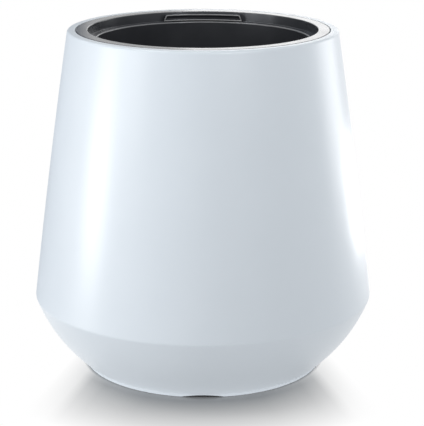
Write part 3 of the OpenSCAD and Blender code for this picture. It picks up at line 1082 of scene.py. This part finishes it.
# %% [markdown]
# ## Floor
# The pot stands on a polished white floor, which shows its shadow and a soft mirror image
# of the bowl near the foot and is plain white farther out. A photographer clears such a
# floor in retouching. Here the material fades to white by the place on the floor: with
# distance, beside the pot along the shadow's slanted edge, and behind the pot. A thin line
# at the foot stays dark, because that is where the pot touches. Only the camera and
# polished surfaces see this white. Diffuse rays get a plain glow that stands for the light
# the floor throws up. The glow isn't sampled as a lamp, because it differs by kind of ray.

# %% Floor
FLOOR_SIDE = 6
FLOOR_GREY = (0.27, 0.27, 0.27, 1)
FLOOR_ROUGHNESS = 0.16
WHITE = (1, 1, 1, 1)
BLACK = (0, 0, 0, 1)
FLOOR_BOUNCE = 0.66
FOOT_BOUNCE = 0.3
FOOT_BOUNCE_WIDTH = 50 * MM
ROUND_FADE = (0.15, 0.268)
SIDE_SLANT = 0.25
SIDE_REACH = 0.2
SIDE_FADE = ((0.03, 0), (0.085, 0.12), (0.105, 0.28), (0.12, 0.69), (0.15, 1))
CONTACT_WIDTH = 4 * MM
BACK_FADE = (0, 0.1)
BACK_WHITE = 0.6


def beside_pot(tree, axes):
    """How white the floor is beside the pot, where the shadow has a slanted edge."""
    slant = calc(tree, "MULTIPLY", calc(tree, "ABSOLUTE", axes["Y"]), SIDE_SLANT)
    aside = calc(tree, "SUBTRACT", calc(tree, "ABSOLUTE", axes["X"]), slant)
    ramp = add(tree, "ShaderNodeValToRGB", {0: calc(tree, "DIVIDE", aside, SIDE_REACH)})
    stops = ramp.color_ramp.elements
    stops.remove(stops[1])
    stops[0].position = 0
    stops[0].color = BLACK
    for place, white in SIDE_FADE:
        stops.new(place / SIDE_REACH).color = (white, white, white, 1)
    return ramp.outputs[0]


def whiteness(tree, axes, away):
    """How far the floor has faded to white, from 0 to 1."""
    clear = remap(tree, away, FOOT_EDGE.x, FOOT_EDGE.x + CONTACT_WIDTH)
    behind = calc(tree, "MULTIPLY", remap(tree, axes["Y"], *BACK_FADE), BACK_WHITE)
    near = calc(tree, "MULTIPLY", calc(tree, "MAXIMUM", beside_pot(tree, axes), behind), clear)
    far = remap(tree, away, *ROUND_FADE)
    return calc(tree, "MULTIPLY_ADD", calc(tree, "SUBTRACT", 1, near), far, near)


def make_floor():
    mesh = bpy.data.meshes.new("floor")
    corners = [(-1, -1), (1, -1), (1, 1), (-1, 1)]
    mesh.from_pydata([(x * FLOOR_SIDE, y * FLOOR_SIDE, 0) for x, y in corners], [], [(0, 1, 2, 3)])
    floor = new_object("floor", mesh)
    material, tree, shader = new_material("polished_white_floor")
    shader.inputs["Base Color"].default_value = FLOOR_GREY
    shader.inputs["Roughness"].default_value = FLOOR_ROUGHNESS
    place = add(tree, "ShaderNodeTexCoord").outputs["Object"]
    away = length_of(tree, place)
    path = add(tree, "ShaderNodeLightPath").outputs
    seen = calc(tree, "MAXIMUM", path["Is Camera Ray"], path["Is Glossy Ray"])
    share = calc(tree, "MULTIPLY", whiteness(tree, axes_of(tree, place), away), seen)
    white = add(tree, "ShaderNodeEmission", {"Color": WHITE, "Strength": 1.0}).outputs[0]
    look = add(tree, "ShaderNodeMixShader", {0: share, 1: shader.outputs[0], 2: white}).outputs[0]
    near_foot = remap(tree, away, FOOT_EDGE.x + FOOT_BOUNCE_WIDTH, FOOT_EDGE.x)
    bounce = calc(tree, "MULTIPLY_ADD", near_foot, FOOT_BOUNCE, FLOOR_BOUNCE)
    bounce = calc(tree, "MULTIPLY", bounce, calc(tree, "GREATER_THAN", away, FOOT_EDGE.x))
    glow = add(tree, "ShaderNodeEmission", {"Color": WHITE, "Strength": bounce}).outputs[0]
    mix = add(tree, "ShaderNodeMixShader", {0: path["Is Diffuse Ray"], 1: look, 2: glow}).outputs[0]
    tree.links.new(mix, tree.nodes["Material Output"].inputs["Surface"])
    material.cycles.emission_sampling = "NONE"
    mesh.materials.append(material)
    print("floor material:", len(tree.nodes), "nodes")


make_floor()

# %% [markdown]
# ## Room
# The room is white all round. The camera and polished surfaces see it at full strength,
# so the background is as white as the photograph's. Its light on the pot is weaker, so
# the white plastic keeps its shading. World sampling is off for the same reason as the
# floor's glow.

# %% Room
ROOM_LIGHT = 0.20


def make_room():
    world = bpy.data.worlds.new("white_room")
    world.use_nodes = True
    tree = world.node_tree
    path = add(tree, "ShaderNodeLightPath").outputs
    seen = calc(tree, "MAXIMUM", path["Is Camera Ray"], path["Is Glossy Ray"])
    seen = calc(tree, "MAXIMUM", seen, path["Is Transmission Ray"])
    strength = remap(tree, seen, 0.0, 1.0, ROOM_LIGHT, 1.0)
    background = tree.nodes["Background"]
    background.inputs["Color"].default_value = WHITE
    tree.links.new(strength, background.inputs["Strength"])
    world.cycles.sampling_method = "NONE"
    bpy.context.scene.world = world


make_room()
bpy.context.scene.view_settings.view_transform = "Standard"
print("room light:", ROOM_LIGHT)

# %% [markdown]
# ## Soft boxes
# Soft boxes are glowing panels, and the shape of each shows in the satin plastic. The
# panels at the left make the broad highlight. The three behind at the right draw the thin
# bright band along that edge. One at the front fills the middle, a wide one behind
# brightens the flange, and one above reaches into the insert.

# %% Soft boxes
MIDDLE = (0, 0, 0.2)
RIM_CENTRE = (0, 0, POT_HEIGHT)


def soft_box(name, azimuth, elevation, distance, size, power, target=MIDDLE):
    """A soft box. Azimuth runs from the camera's side towards the right, in degrees."""
    turn = math.radians(azimuth)
    rise = math.radians(elevation)
    way = Vector((math.sin(turn) * math.cos(rise), -math.cos(turn) * math.cos(rise), math.sin(rise)))
    light = bpy.data.lights.new(name, "AREA")
    light.shape = "RECTANGLE"
    light.size, light.size_y = size
    light.energy = power
    lamp = new_object(name, light)
    lamp.location = Vector(target) + way * distance
    lamp.rotation_euler = (-way).to_track_quat("-Z", "Y").to_euler()


soft_box("left_strip", -75, 8, 1.7, (0.3, 0.9), 4.2)
soft_box("left_low_box", -80, -2, 1.7, (0.4, 0.4), 7.8)
soft_box("left_front_box", -55, 12, 1.8, (0.62, 0.45), 3.5)
soft_box("left_top_box", -70, 60, 1.8, (0.45, 0.45), 7)
soft_box("front_box", 25, 30, 1.8, (0.45, 0.45), 9.2)
soft_box("right_strip", 112, 8, 1.7, (0.39, 0.9), 4)
soft_box("right_back_strip", 125, 8, 1.7, (0.39, 0.9), 3.9)
soft_box("right_low_strip", 130, -9, 0.8, (0.3, 0.14), 1)
soft_box("flange_card", 165, 9.5, 2.2, (1.26, 0.4), 2.8, target=RIM_CENTRE)
soft_box("top_box", 0, 82, 1.5, (0.5, 0.25), 2.5, target=RIM_CENTRE)

print("soft boxes:", len(bpy.data.lights))

# %% [markdown]
# ## Grey card
# White on white loses its edge. Photographers stand a dark card beside a white object, out
# of view, so that the object's edge mirrors the card and stands out. This one lies on the
# floor and bends up behind the pot at the left. It shades the left edge of the wall and
# the left part of the flange. Only reflections see it.

# %% Grey card
CARD_AZIMUTH = math.radians(-141)
CARD_NEAR = 0.3
CARD_FAR = 1.1
CARD_WIDTH = 1.2
CARD_HEIGHT = 1.1
CARD_LIFT = 1 * MM
CARD_GREY = (0.36, 0.4, 0.46, 1)
CARD_ROUGHNESS = 0.9


def make_grey_card():
    out = Vector((math.sin(CARD_AZIMUTH), -math.cos(CARD_AZIMUTH), 0))
    side = Vector((math.cos(CARD_AZIMUTH), math.sin(CARD_AZIMUTH), 0)) * CARD_WIDTH / 2
    low = Vector((0, 0, CARD_LIFT))
    high = Vector((0, 0, CARD_HEIGHT))
    bends = [out * CARD_NEAR + low, out * CARD_FAR + low, out * CARD_FAR + high]
    corners = [bend + way * side for bend in bends for way in (-1, 1)]
    mesh = bpy.data.meshes.new("grey_card")
    mesh.from_pydata(corners, [], [(0, 1, 3, 2), (2, 3, 5, 4)])
    card = new_object("grey_card", mesh)
    material, _, shader = new_material("card_grey")
    shader.inputs["Base Color"].default_value = CARD_GREY
    shader.inputs["Roughness"].default_value = CARD_ROUGHNESS
    mesh.materials.append(material)
    card.visible_camera = False
    card.visible_diffuse = False
    card.visible_shadow = False
    print("grey card:", CARD_WIDTH, "m wide")


make_grey_card()
